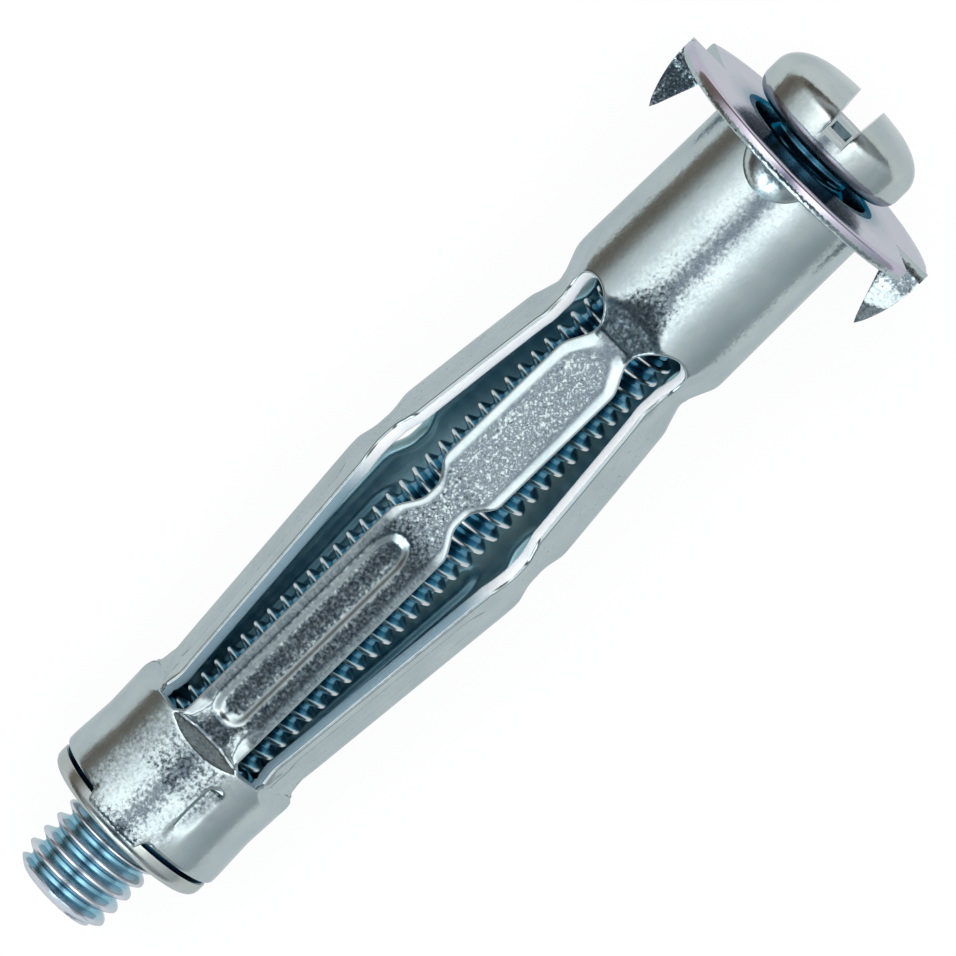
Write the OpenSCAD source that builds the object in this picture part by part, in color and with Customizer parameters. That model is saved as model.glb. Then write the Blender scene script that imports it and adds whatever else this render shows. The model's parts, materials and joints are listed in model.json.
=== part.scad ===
// Hollow wall anchor with its machine screw, lying on its collar and tail.
// Lengths along the anchor are measured from the underside of the collar towards the tail.
// Every piece is drawn upright, with its tail along +Z and its front along +X, and is then laid down.

/* [Screw] */
// Outer diameter of the thread
screw_d = 6; // [5:0.5:6.5]
// Pitch of the thread
thread_pitch = 1; // [0.8:0.05:1.25]
// How far the tip of the screw reaches past the nut
screw_overhang = 5.2; // [3:0.1:20]
// Diameter of the screw head
head_d = 9.84; // [9:0.1:12]
// Height of the screw head
head_h = 3.5; // [3:0.1:4.5]
// Width of the driving slot
slot_w = 1.5; // [1:0.1:2]
// Depth of the driving slot
slot_depth = 2.1; // [1:0.1:2.4]
// Gap between the head and the collar before the screw is tightened
head_gap = 0.75; // [0.3:0.05:3]

/* [Collar] */
// Diameter of the collar
collar_d = 17.8; // [16:0.1:24]
// Thickness of the collar and its prongs
collar_t = 0.8; // [0.6:0.05:1]
// Diameter of the hole through the collar
collar_hole_d = 8.2; // [7:0.1:8.8]
// Distance from the axis to the inner end of each prong
prong_root = 6.5; // [6:0.1:7]
// How far each prong reaches below the collar
prong_length = 3.7; // [2.5:0.1:4.5]
// Radius of the pressed knobs that stiffen the corner under the collar
knob_r = 2.45; // [2.1:0.05:2.6]

/* [Sleeve] */
// Wall of the sleeve
wall = 0.8; // [0.6:0.05:0.9]
// Diameter of the barrel below the collar
barrel_d = 10.6; // [10.2:0.1:11.4]
// Length of the barrel, down to the bend above the legs
barrel_length = 11.7; // [10:0.5:20]
// Diameter at the neck of the legs
neck_d = 9.3; // [9:0.1:9.6]
// Length of the upper half of the legs, from the neck to the widest point
upper_leg = 14.9; // [13:0.5:20]
// Length of the lower half of the legs, from the widest point to the ankle
lower_leg = 14.9; // [14:0.1:20]
// Diameter over the widest point of the legs
bulge_d = 12.32; // [11.6:0.1:13]
// Diameter at the ankle of the legs
ankle_d = 9.5; // [9.2:0.1:9.8]
// Diameter of the tail
tail_d = 10.84; // [10.5:0.05:11.4]
// Length of the tail
tail_length = 6.5; // [6:0.1:10]

/* [Legs] */
// Number of legs
legs = 5; // [4:1:5]
// Width of a leg
leg_w = 4.15; // [3.6:0.05:4.4]
// Width of a leg at its neck and at its waist
waist_w = 2.45; // [2:0.05:2.8]
// Width of the flat that is pressed on each leg
flat_w = 3.05; // [2.4:0.05:3.3]
// Width of the pressed rib on the lower half of each leg
rib_w = 2.1; // [1.6:0.05:2.4]
// Depth of the pressed rib
rib_depth = 0.3; // [0.15:0.05:0.35]

/* [Nut] */
// Thickness of the nut's flange
flange_t = 1; // [0.8:0.05:1.5]
// Gap between the sleeve's end and the nut's flange
slit = 0.25; // [0.1:0.01:0.3]
// Radial clearance between the screw and the nut
thread_fit = 0.05; // [0.02:0.01:0.09]
// Angle that each crimp covers
crimp_angle = 43; // [30:1:60]

/* [Hidden] */
$fn = 72;
eps = 0.01;

// Radii
screw_r = screw_d / 2;
head_r = head_d / 2;
collar_r = collar_d / 2;
barrel_r = barrel_d / 2;
bore_r = barrel_r - wall;
tail_r = tail_d / 2;
tail_waist_r = tail_r - 0.17;
tail_bore_r = tail_waist_r - wall;
rim_round = 0.475 * collar_t;

// Places along the anchor
neck_z = barrel_length + 1.7;
shoulder_z = neck_z + 1.8;
knee_z = neck_z + upper_leg;
ankle_z = knee_z + lower_leg;
foot_z = ankle_z + 0.9;
sleeve_end = foot_z - 0.6 + tail_length;
flange_z = sleeve_end + slit;
nut_end = flange_z + flange_t;
crimp_lap = 0.4;
crimp_end = flange_z + crimp_lap;
crimp_t = 0.25;
rib_top = knee_z - 0.1;
rib_end = ankle_z - 0.7;
slot_end = foot_z - 0.45;

// Places along the screw
seat_z = -collar_t - head_gap;
head_top = head_h - seat_z;
tip = 0.6;
screw_end = nut_end + screw_overhang;
thread_start = 0.9;

// One turn of the thread, as [depth, share of the pitch], from the start of a crest
thread_depth = 0.6 * thread_pitch;
thread_turn = [[0, 0], [0, 0.2], [thread_depth, 0.6]];

// What the corner of a prong's bend takes from its length, and where the knobs are centred
bend_take = 0.3;
knob_centre = [barrel_r - 1.1, 0, -0.6];

// Steps of the rounded edges
rim_steps = 6;
head_steps = 4;

// Turns about the axis: the first leg, the crimps and knobs, and the bends of the two prongs
leg_turn = 2;
crimp_turn = 6.5;
knob_turn = 12;
prong_turns = [90, 270];
leg_step = 360 / legs;

// How far the chord of a pressed flat lies inside the round surface
function chord_drop(r, w) = r - sqrt(r * r - w * w / 4);
function unit(v) = v / norm(v);
function signed(a) = a > 180 ? a - 360 : a < -180 ? a + 360 : a;

// The points of a bend of radius r at b, on the way from a to c
function bend(a, b, c, r, steps = 3) =
    let (
        u = unit(a - b),
        v = unit(c - b),
        half = acos(u * v) / 2,
        centre = b + unit(u + v) * r / sin(half),
        from = b + u * r / tan(half) - centre,
        to = b + v * r / tan(half) - centre,
        start = atan2(from.y, from.x),
        sweep = signed(atan2(to.y, to.x) - start)
    )
    [for (i = [0:steps]) let (t = start + sweep * i / steps) centre + r * [cos(t), sin(t)]];

// A line through corners given as [radius, place, bend radius]
function bent_line(corners) = [
    for (i = [0:len(corners) - 1])
        let (
            b = [corners[i][0], corners[i][1]],
            r = corners[i][2],
            inside = i > 0 && i < len(corners) - 1 && r > 0
        )
        each inside
            ? bend([corners[i - 1][0], corners[i - 1][1]], b, [corners[i + 1][0], corners[i + 1][1]], r)
            : [b]
];

// The sleeve's outside, from the collar to its end
sleeve_corners = [
    [collar_r - rim_round, 0, 0],
    [barrel_r - 0.02, 0, 0.4],
    [barrel_r + 0.07, barrel_length, 1.2],
    [neck_d / 2 - 0.04, neck_z, 0.9],
    [neck_d / 2 + 0.42, shoulder_z, 1.2],
    [bulge_d / 2 - 0.12, knee_z - 4.6, 4],
    [bulge_d / 2 - 0.14, knee_z - 2.6, 4],
    [bulge_d / 2 + 0.04, knee_z - 0.3, 6],
    [ankle_d / 2, ankle_z, 0.6],
    [tail_r + 0.02, foot_z + 0.1, 0.35],
    [tail_waist_r, foot_z + 3.1, 5],
    [tail_r, sleeve_end - 0.6, 1],
    [tail_r - 0.04, sleeve_end, 0]
];
outside = bent_line(sleeve_corners);
outside_table = [for (p = outside) [p.y, p.x]];
function outer_r(z) = lookup(z, outside_table);

// The sleeve's inside, a wall's thickness within the outside, and round where the nut sits
inside_corners = [
    [bore_r, 1, 0],
    [bore_r, barrel_length, 1],
    [neck_d / 2 - wall, neck_z, 1],
    [bulge_d / 2 - 0.13 - wall, knee_z - 3.6, 6],
    [bulge_d / 2 + 0.02 - wall, knee_z - 0.3, 6],
    [ankle_d / 2 - wall, ankle_z, 0.6],
    [tail_bore_r, foot_z, 0],
    [tail_bore_r, sleeve_end, 0]
];
inside = bent_line(inside_corners);

// The face that is pressed on each leg, as its distance from the axis
flat_corners = [
    [barrel_r + 0.1, neck_z - 3.8, 0],
    [neck_d / 2 - 0.06, neck_z - 0.7, 0.8],
    [neck_d / 2 - 0.08, neck_z, 0.8],
    [neck_d / 2 + 0.42 - chord_drop(neck_d / 2 + 0.42, flat_w), shoulder_z, 1.2],
    [bulge_d / 2 - 0.12 - chord_drop(bulge_d / 2, flat_w), knee_z - 4.6, 4],
    [bulge_d / 2 - 0.14 - chord_drop(bulge_d / 2, flat_w), knee_z - 2.6, 4],
    [bulge_d / 2 + 0.04 - chord_drop(bulge_d / 2, flat_w), knee_z - 0.3, 6],
    [ankle_d / 2 - chord_drop(ankle_d / 2, flat_w) + 0.05, ankle_z + 0.45, 0.2],
    [tail_r + 0.1, foot_z + 0.55, 0]
];
flat_line = bent_line(flat_corners);

// Half the width of a leg along its length
half_leg = [
    [neck_z - 0.4, waist_w / 2 + 0.05],
    [neck_z + 0.3, waist_w / 2 + 0.1],
    [shoulder_z, leg_w / 2],
    [knee_z - 4.8, leg_w / 2],
    [knee_z - 4.2, leg_w / 2 - 0.25],
    [knee_z - 3.5, waist_w / 2 + 0.15],
    [knee_z - 2.9, waist_w / 2],
    [knee_z - 2.5, waist_w / 2],
    [knee_z - 1.9, waist_w / 2 + 0.15],
    [knee_z - 1.2, leg_w / 2 - 0.25],
    [knee_z - 0.6, leg_w / 2],
    [slot_end, leg_w / 2]
];
// Half the width of the slot beside a leg at z
function half_slot(z) =
    let (r = outer_r(z)) r * sin(leg_step / 2 - asin(lookup(z, half_leg) / r));

// The anchor rests on the collar's rim and on the edge of a crimp
rest_collar = [collar_r - rim_round, rim_round - collar_t];
rest_crimp = [tail_bore_r + wall + crimp_t, crimp_end - crimp_t / 2];
rest_span = rest_crimp - rest_collar;
rest_tilt = acos(-rim_round / norm(rest_span)) - atan2(rest_span.y, -rest_span.x);
rest_height = rest_collar.x * cos(rest_tilt) + rest_collar.y * sin(rest_tilt) + rim_round;
rest_shift = (screw_end - head_top) * cos(rest_tilt) / 2;

// Lays a piece down: its tail towards -X, its front up
module laid() {
    translate([rest_shift, 0, rest_height]) rotate([0, -90 - rest_tilt, 0]) children();
}

// A profile of distances from the axis, drawn out across a leg
module across(points, width) {
    rotate([90, 0, 0]) linear_extrude(height = width, center = true) polygon(points);
}

// An outline on the surface, drawn out from the axis to a radius
module outwards(from, to) {
    rotate([90, 0, 90]) translate([0, 0, from]) linear_extrude(height = to - from) children();
}

// Repeats something at every leg, or at every slot with a half step
module at_legs(offset_steps = 0) {
    for (i = [0:legs - 1])
        rotate(leg_turn + (i + offset_steps) * leg_step) children();
}

// The round tube and its collar, before anything is cut or pressed
module tube() {
    top = -collar_t;
    rotate_extrude()
        polygon(concat(
            [[collar_hole_d / 2, top]],
            [for (i = [0:rim_steps - 1])
                let (t = -90 + 180 * i / rim_steps)
                [collar_r - rim_round + rim_round * cos(t), -collar_t / 2
                    + sign(sin(t)) * (collar_t / 2 - rim_round) + rim_round * sin(t)]],
            outside,
            [for (i = [len(inside) - 1:-1:0]) inside[i]],
            [[collar_hole_d / 2, 0.6]]
        ));
}

// The opening between two legs, with an arched top
module leg_slot() {
    arch_r = half_slot(neck_z - 0.4);
    steps = 8;
    foot = [for (p = half_leg) if (p[0] > neck_z - 0.4) p[0]];
    mids = [for (i = [1:7]) shoulder_z + (knee_z - 4.8 - shoulder_z) * i / 8];
    right = concat(
        [for (i = [0:steps]) let (t = i * 90 / steps) [arch_r * sin(t), neck_z - 0.4 - arch_r * cos(t)]],
        [for (z = foot) if (z <= shoulder_z) [half_slot(z), z]],
        [for (z = mids) [half_slot(z), z]],
        [for (z = foot) if (z > shoulder_z) [half_slot(z), z]]
    );
    left = [for (i = [len(right) - 1:-1:1]) [-right[i].x, right[i].y]];
    outwards(2, collar_r) polygon(concat(right, left));
}

// What pressing takes off the outside of a leg
module leg_flat() {
    last = flat_line[len(flat_line) - 1];
    across(concat(flat_line, [[collar_r, last.y], [collar_r, flat_line[0].y]]), leg_w + 1);
}

// The outline of a rib
module rib_outline(width) {
    r = width / 2;
    translate([-r, rib_top + r]) square([width, rib_end - rib_top - width]);
    translate([0, rib_top + r]) circle(r);
    translate([0, rib_end - r]) circle(r);
}

// A layer of a leg between two depths under its pressed face, over the length of the rib
module leg_layer(over, under) {
    face = [for (p = flat_line) if (p.y > rib_top - 1 && p.y < ankle_z + 0.3) p];
    across(concat(
        [for (p = face) p + [over, 0]],
        [for (i = [len(face) - 1:-1:0]) face[i] - [under, 0]]
    ), leg_w);
}

module rib_groove() {
    intersection() {
        outwards(2, collar_r) rib_outline(rib_w);
        leg_layer(1, rib_depth);
    }
}

module rib_bead() {
    intersection() {
        outwards(2, collar_r) rib_outline(rib_w - 0.3);
        leg_layer(-wall / 2, wall - 0.1 + rib_depth);
    }
}

// The outline of a prong beside its bend, out to the rim
module flap_outline() {
    reach = prong_length + bend_take;
    polygon(concat(
        [[prong_root, 0]],
        [for (i = [0:8]) let (d = reach * i / 8) [sqrt(collar_r * collar_r - d * d), d]]
    ));
}

// The notch that a prong leaves in the collar. The bend lies along +X and the notch on its +Y side
module prong_notch() {
    translate([0, 0, -collar_t - 1]) linear_extrude(height = collar_t + 2) {
        flap_outline();
        difference() {
            translate([prong_root + 0.4, 0]) square([collar_r - prong_root + 1, prong_length + bend_take]);
            circle(collar_r - 0.05);
        }
    }
}

// A prong, bent straight down along the edge of its notch
module prong() {
    intersection() {
        union() {
            translate([0, collar_t, 0]) rotate([90, 0, 0])
                linear_extrude(height = collar_t) translate([0, -bend_take]) intersection() {
                    flap_outline();
                    translate([0, bend_take - eps]) square(collar_r);
                }
            rotate([0, 90, 0]) translate([0, 0, prong_root])
                intersection() {
                    cylinder(r = collar_t, h = collar_r - prong_root);
                    translate([0, 0, -1]) cube([collar_t, collar_t, collar_r]);
                }
        }
        translate([0, 0, -collar_t]) cylinder(r = collar_r, h = prong_length + 2 * collar_t);
    }
}

// A knob pressed into the corner between the collar and the barrel
module knob() {
    intersection() {
        translate(knob_centre) sphere(knob_r);
        translate([bore_r + wall / 2, -knob_r, -collar_t / 2]) cube([2 * knob_r, 2 * knob_r, 2 * knob_r]);
    }
}

// A lip of the sleeve's end, lapped over the nut's flange
module crimp() {
    lip_r = tail_bore_r + wall;
    rotate(-crimp_angle / 2) rotate_extrude(angle = crimp_angle) polygon([
        [lip_r - 0.4, sleeve_end - 0.9],
        [lip_r, sleeve_end - 0.9],
        [lip_r + crimp_t, sleeve_end - 0.2],
        [lip_r + crimp_t, crimp_end - crimp_t / 2],
        [lip_r + crimp_t / 2, crimp_end],
        [lip_r + eps, crimp_end],
        [lip_r + eps, sleeve_end],
        [lip_r - 0.4, sleeve_end]
    ]);
}

module anchor_sleeve() {
    color("gainsboro") laid() {
        difference() {
            tube();
            at_legs(0.5) leg_slot();
            at_legs() leg_flat();
            at_legs() rib_groove();
            for (turn = prong_turns) rotate(turn) prong_notch();
        }
        at_legs() rib_bead();
        for (turn = prong_turns) rotate(turn) prong();
        for (turn = [0, 180]) rotate(knob_turn + turn) knob();
        for (turn = [0, 180]) rotate(crimp_turn + turn) crimp();
    }
}

module end_nut() {
    body_r = tail_bore_r - 0.03;
    bore = screw_r + thread_fit;
    rim = tail_bore_r + wall;
    color("lightsteelblue") laid() rotate_extrude() polygon([
        [bore + 0.4, foot_z + 0.6],
        [body_r - 0.3, foot_z + 0.6],
        [body_r, foot_z + 0.9],
        [body_r, flange_z],
        [rim, flange_z],
        [rim, flange_z + flange_t * 0.55],
        [rim - 0.15, flange_z + flange_t * 0.8],
        [rim - 0.4, nut_end],
        [bore + 0.4, nut_end],
        [bore, nut_end - 0.4],
        [bore, foot_z + 1]
    ]);
}

// The outline of the head, from under it to its crown
module head_profile() {
    seat = 1.3;
    crown = 1.6;
    crown_z = head_h - crown - 0.15;
    crown_sweep = 68;
    polygon(concat(
        [[0, 0]],
        [for (i = [0:head_steps])
            let (t = -90 + 90 * i / head_steps)
            [head_r - seat + seat * cos(t), seat + seat * sin(t)]],
        [for (i = [0:head_steps])
            let (t = crown_sweep * i / head_steps)
            [head_r - crown + crown * cos(t), crown_z + crown * sin(t)]],
        [[1.6, head_h - 0.03], [0, head_h]]
    ));
}

// The outline of the shank, with a groove for each turn of the thread
module shank_profile() {
    turns = floor((screw_end - tip - thread_start) / thread_pitch);
    polygon(concat(
        [[0, seat_z - 0.5], [screw_r, seat_z - 0.5]],
        [for (i = [0:turns - 1])
            for (p = thread_turn) [screw_r - p[0], thread_start + (i + p[1]) * thread_pitch]],
        [[screw_r, thread_start + turns * thread_pitch]],
        [[screw_r, screw_end - tip], [screw_r - tip, screw_end], [0, screw_end]]
    ));
}

module machine_screw() {
    color("silver") laid() {
        difference() {
            union() {
                translate([0, 0, seat_z]) mirror([0, 0, 1]) rotate_extrude() head_profile();
                rotate_extrude() shank_profile();
            }
            translate([-head_d, -slot_w / 2, -head_top - 1]) cube([2 * head_d, slot_w, slot_depth + 1]);
        }
    }
}

anchor_sleeve();
end_nut();
machine_screw();
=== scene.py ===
import math

import bmesh
import bpy
import numpy as np
from mathutils import Matrix, Vector
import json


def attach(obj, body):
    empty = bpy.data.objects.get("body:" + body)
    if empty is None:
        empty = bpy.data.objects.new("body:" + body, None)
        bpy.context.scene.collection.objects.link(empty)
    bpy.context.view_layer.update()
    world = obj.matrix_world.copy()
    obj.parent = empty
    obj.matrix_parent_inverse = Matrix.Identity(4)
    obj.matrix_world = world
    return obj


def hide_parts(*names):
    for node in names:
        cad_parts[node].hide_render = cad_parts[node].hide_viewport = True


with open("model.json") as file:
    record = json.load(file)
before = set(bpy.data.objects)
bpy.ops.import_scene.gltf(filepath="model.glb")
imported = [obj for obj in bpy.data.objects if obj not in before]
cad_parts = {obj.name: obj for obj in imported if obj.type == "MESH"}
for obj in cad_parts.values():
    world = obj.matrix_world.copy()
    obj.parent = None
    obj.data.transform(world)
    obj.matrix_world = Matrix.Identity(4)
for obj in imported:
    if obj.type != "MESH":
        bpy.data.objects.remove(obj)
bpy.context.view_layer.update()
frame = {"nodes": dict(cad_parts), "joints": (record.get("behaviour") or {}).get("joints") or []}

# The scene is modelled in the anchor's own frame, in millimetres, and is then laid where the
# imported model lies. Its coordinates are x to the front, y to the side and z from the underside
# of the collar towards the tail. Turns about the axis are in degrees from the front.
MM = 0.001
joint = frame["joints"][0]
ORIGIN = np.array(joint["pos_m"])
HEADWARD = np.array(joint["axis"]) / np.linalg.norm(joint["axis"])
SIDEWAYS = np.array([0.0, 1.0, 0.0])
FRONT = np.cross(HEADWARD, SIDEWAYS)
BASIS = np.stack([FRONT, SIDEWAYS, -HEADWARD])


def to_world(points):
    return ORIGIN + MM * np.asarray(points, float) @ BASIS


def to_local(points):
    return (np.asarray(points) - ORIGIN) @ BASIS.T / MM


def local_vertices(mesh):
    """The vertices of a mesh in the anchor's own frame."""
    co = np.zeros(len(mesh.vertices) * 3)
    mesh.vertices.foreach_get("co", co)
    return to_local(co.reshape(-1, 3))


def reach(node):
    """How far a CAD node goes along the axis, nearest and farthest, and out from it."""
    local = local_vertices(frame["nodes"][node].data)
    return local[:, 2].min(), local[:, 2].max(), np.hypot(local[:, 0], local[:, 1]).max()


_, CRIMP_END, COLLAR_R = reach("anchor_sleeve")
NUT_TOP, NUT_END, NUT_R = reach("end_nut")
HEAD_TOP, SCREW_END, HEAD_R = reach("machine_screw")

# The collar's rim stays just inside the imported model's, so that rounding can't take it past the box
COLLAR_R -= 0.002

# Sizes of the sleeve, in millimetres and degrees
WALL = 0.8
EDGE = 0.14
LEGS = 5
STEP = 360 / LEGS
LEG_TURN = 2
LEG_HALF = 2.075
WAIST_HALF = 1.2
WAIST = (23.4, 25.15, 25.75, 27.75)
REAR_WAIST = 0.2
NECK_HALF = 1.3
BARREL_R = 5.3
TAIL_BORE = 4.45
HOLE_R = 4.1
SLOT_TOP = 9.2
ARCH_Z = 13.0
SLOT_END = 43.75
FOOT_Z = 44.1
SETTLE_Z = 45.4
GRID_TOP, GRID_END = 2.6, 48.6
SLEEVE_END = CRIMP_END - 0.68
RIM_ROUND = 0.27
PRONG_ROOT = 6.5
PRONG_TIP = 3.65
PRONG_TURNS = (90, 270)
PRONG_TWISTS = (0.0, -0.17)
PRONG_START = 0.3
KNOB_TURN = 9
CRIMP_TURN = 6.5
CRIMP_HALF = 21.5
LIP_LIFT = 0.08
LIP_T = 0.12
DENT_TURN, DENT_Z = -25, 45.05
FLAT_HALF = 1.45
STRIP_SLOPE = 0.21
RIB_HALF = 1.05
RIB_SIDE = 0.3
RIB_DEPTH = 0.3
RIB_WALL = 0.4
RIB_TOP, RIB_END = 28.15, 42.5
SIDE_RIB = 0.45
# painted shade: the cut walls of the slots in the painted-shade list get the darker inside colour
SIDE_LEGS, REAR_LEGS, SHADED_SLOTS = (1, 4), (2, 3), (1, 3)

# Sizes of the screw
THREAD_R = 2.98
ROOT_R = 2.42
TIP_R = 2.38
PITCH = 1.0
HEAD_SEAT = -1.55
HEAD_SLOT_DEPTH = 2.1
HEAD_SLOT_SHIFT = -0.18


def smooth_step(low, high, value):
    t = np.clip((value - low) / (high - low), 0, 1)
    return t * t * (3 - 2 * t)


def window(ends, value):
    """One between the middle two of four ends, and nought outside the outer two."""
    return smooth_step(ends[0], ends[1], value) * (1 - smooth_step(ends[2], ends[3], value))


def smooth_min(a, b, blend):
    h = np.clip(0.5 + 0.5 * (b - a) / blend, 0, 1)
    return b * (1 - h) + a * h - blend * h * (1 - h)


def rounded(corners, steps=16):
    """A line through corners given as (radius, place, bend), each bend a smooth curve."""
    line = [np.array(corners[0][:2], float)]
    for before, here, after in zip(corners, corners[1:], corners[2:]):
        b = np.array(here[:2], float)
        u = np.array(before[:2], float) - b
        v = np.array(after[:2], float) - b
        reach_back = 0.48 * min(np.linalg.norm(u), np.linalg.norm(v))
        u, v = u / np.linalg.norm(u), v / np.linalg.norm(v)
        half = math.acos(np.clip(u @ v, -1, 1)) / 2
        cut = min(here[2] / math.tan(half), reach_back)
        for t in np.linspace(0, 1, steps):
            line.append(b + u * cut * (1 - t) ** 2 + v * cut * t * t)
    line.append(np.array(corners[-1][:2], float))
    return np.array(line)


# The sleeve's outside below the collar, and the face pressed on each leg
ROUND = rounded([
    (BARREL_R - 0.03, 0.3, 0),
    (BARREL_R - 0.02, 4, 3),
    (BARREL_R + 0.06, 11.6, 1.5),
    (4.6, 13.45, 1.0),
    (5.07, 15.2, 1.2),
    (6.02, 23.7, 3),
    (6.07, 26.0, 3),
    (6.20, 28.2, 5),
    (4.86, 42.3, 1.5),
    (5.0, 43.45, 0.5),
    (5.41, 43.95, 0.45),
    (5.29, 47.0, 3),
    (5.42, 49.5, 1.2),
    (5.38, 51.5, 0),
])
PRESSED = rounded([
    (BARREL_R + 0.16, 8.6, 0),
    (BARREL_R + 0.01, 9.9, 1.5),
    (5.12, 11.2, 1.5),
    (4.58, 13.05, 0.35),
    (4.86, 15.2, 1.2),
    (5.80, 23.7, 3),
    (5.97, 27.5, 12),
    (4.50, 43.7, 0.12),
    (5.46, 44.62, 0.2),
    (7.0, 45.5, 0),
])


def round_r(z):
    return np.interp(z, ROUND[:, 1], ROUND[:, 0])


def pressed_x(z):
    return np.interp(z, PRESSED[:, 1], PRESSED[:, 0])


def rib_inside(y, z):
    """How far within the outline of the rib a place on a leg is: an oblong with round ends."""
    beyond = np.maximum(np.maximum(0.6 * (RIB_TOP - z) + RIB_HALF, z - RIB_END + RIB_HALF), 0)
    return RIB_HALF - np.hypot(y - RIB_SIDE, beyond)


def rib(y, z):
    """How deep the rib is pressed at a place on a leg."""
    inside = rib_inside(y, z)
    floor = 1 - 0.25 * ((y - RIB_SIDE) / RIB_HALF) ** 2
    wall = np.clip(inside / RIB_WALL, 0, 1)
    return RIB_DEPTH * floor * (0.6 * wall + 0.4 * smooth_step(0, RIB_WALL, inside))


def foot_corner(y, z):
    """How far a leg's face is lifted at the corners of its foot."""
    return 0.32 * window((41.3, 43.1, 43.45, 43.9), z) * np.maximum(np.abs(y) - 0.72, 0) ** 1.5


def dimple(turn, z):
    """A small flat dent in the tail, sharp at its top and running out below."""
    across = np.radians(turn - DENT_TURN) * BARREL_R
    dz = z - DENT_Z
    top = smooth_step(0, 0.25, dz - 2.2 * across**2)
    side = 1 - smooth_step(0.3, 0.64, np.abs(across))
    deep = np.clip(0.2 + 0.36 * across, 0, 0.33)
    return deep * top * side * (1 - smooth_step(2.4, 4.5, dz))


def lip_window(turn):
    """One on the two lips that are crimped over the nut, and nought beside them."""
    off = np.abs((turn - CRIMP_TURN + 90) % 180 - 90)
    return 1 - smooth_step(CRIMP_HALF - 2.5, CRIMP_HALF + 1, off)


def shell(theta, z, sector, depth=0.0):
    """A point of a leg's sector of the sleeve, depth under its outer face."""
    r = round_r(z)
    y = r * np.sin(theta)
    leg = window((14.2, 15.8, 42.0, 43.2), z)
    flat = flat_half(z)
    beside = np.minimum(np.sqrt(r**2 - flat**2), pressed_x(z) + 0.02)
    beside = beside - STRIP_SLOPE * np.maximum(np.abs(y) - flat, 0)
    x = r * np.cos(theta)
    x = np.where(np.abs(y) > flat, x + leg * (beside - x), x)
    blend = 0.03 + 0.13 * (1 - smooth_step(11.2, 13.4, z))
    x = smooth_min(x, pressed_x(z) + foot_corner(y, z), blend)
    x = x - rib(y, z) * (SIDE_RIB if sector in SIDE_LEGS else 1)
    turn = np.degrees(theta) + LEG_TURN + STEP * sector
    turn = (turn + 180) % 360 - 180
    scale = 1 - dimple(turn, z) / r + lip_window(turn) * LIP_LIFT * smooth_step(49.0, 50.0, z) / r
    x, y = x * scale, y * scale
    wall = WALL
    if np.any(np.asarray(depth) > 0):
        bore = TAIL_BORE + (NUT_R + 0.01 - TAIL_BORE) * smooth_step(50.12, 50.22, z)
        wall = np.where(z > FOOT_Z, np.hypot(x, y) - bore, WALL)
    share = np.asarray(depth) / WALL
    x = x - share * wall * np.cos(theta)
    y = y - share * wall * np.sin(theta)
    return np.stack(np.broadcast_arrays(x, y, z), -1)


def turned(points, degrees):
    c, s = math.cos(math.radians(degrees)), math.sin(math.radians(degrees))
    x, y, z = points[..., 0], points[..., 1], points[..., 2]
    return np.stack([c * x - s * y, s * x + c * y, z], -1)


# Half the angle from one leg to the next
HALF_STEP = math.radians(STEP / 2)

# How far a prong stays below the collar's top, so that no two of their faces lie in one plane
LAP = 0.004


def half_leg(z):
    """Half the width of a leg at z, below the arch of the slot."""
    neck = NECK_HALF + (LEG_HALF - NECK_HALF) * smooth_step(13.2, 15.3, z)
    return neck - (LEG_HALF - WAIST_HALF) * window(WAIST, z)


def flat_half(z):
    """Half the width of a leg's flat: beyond it a strip slopes down to the edge."""
    return np.minimum(FLAT_HALF, half_leg(z) - 0.47)


# The arch at the top of a slot and the round corners at its foot. A split is the place where the
# rows of the mesh go over from the slot's side to its end.
ARCH_R = float(round_r(ARCH_Z)) * math.sin(HALF_STEP - math.asin(NECK_HALF / float(round_r(ARCH_Z))))
ARCH_SPLIT = ARCH_Z - ARCH_R * math.sqrt(0.5)
CORNER = 0.3
FOOT_SPLIT = SLOT_END - CORNER * (1 - math.sqrt(0.5))


def half_slot(z):
    r = round_r(z)
    return r * np.sin(HALF_STEP - np.arcsin(half_leg(z) / r))


# Where the slot's lower corners start, across from its middle
FOOT_LINE = half_slot(SLOT_END - CORNER) - CORNER


def edge_angle(z):
    """The angle from the middle of a leg to the edge of its slot."""
    z = np.asarray(z, float)
    zc = np.clip(z, ARCH_SPLIT, FOOT_SPLIT)
    r = round_r(zc)
    arch = np.sqrt(np.maximum(ARCH_R**2 - (ARCH_Z - zc) ** 2, 0))
    low = SLOT_END - CORNER
    foot = FOOT_LINE + np.sqrt(np.maximum(CORNER**2 - (zc - low) ** 2, 0))
    slot = np.where(zc < ARCH_Z, arch, np.where(zc > low, foot, half_slot(np.maximum(zc, ARCH_Z))))
    return HALF_STEP - np.arcsin(slot / r)


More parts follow.
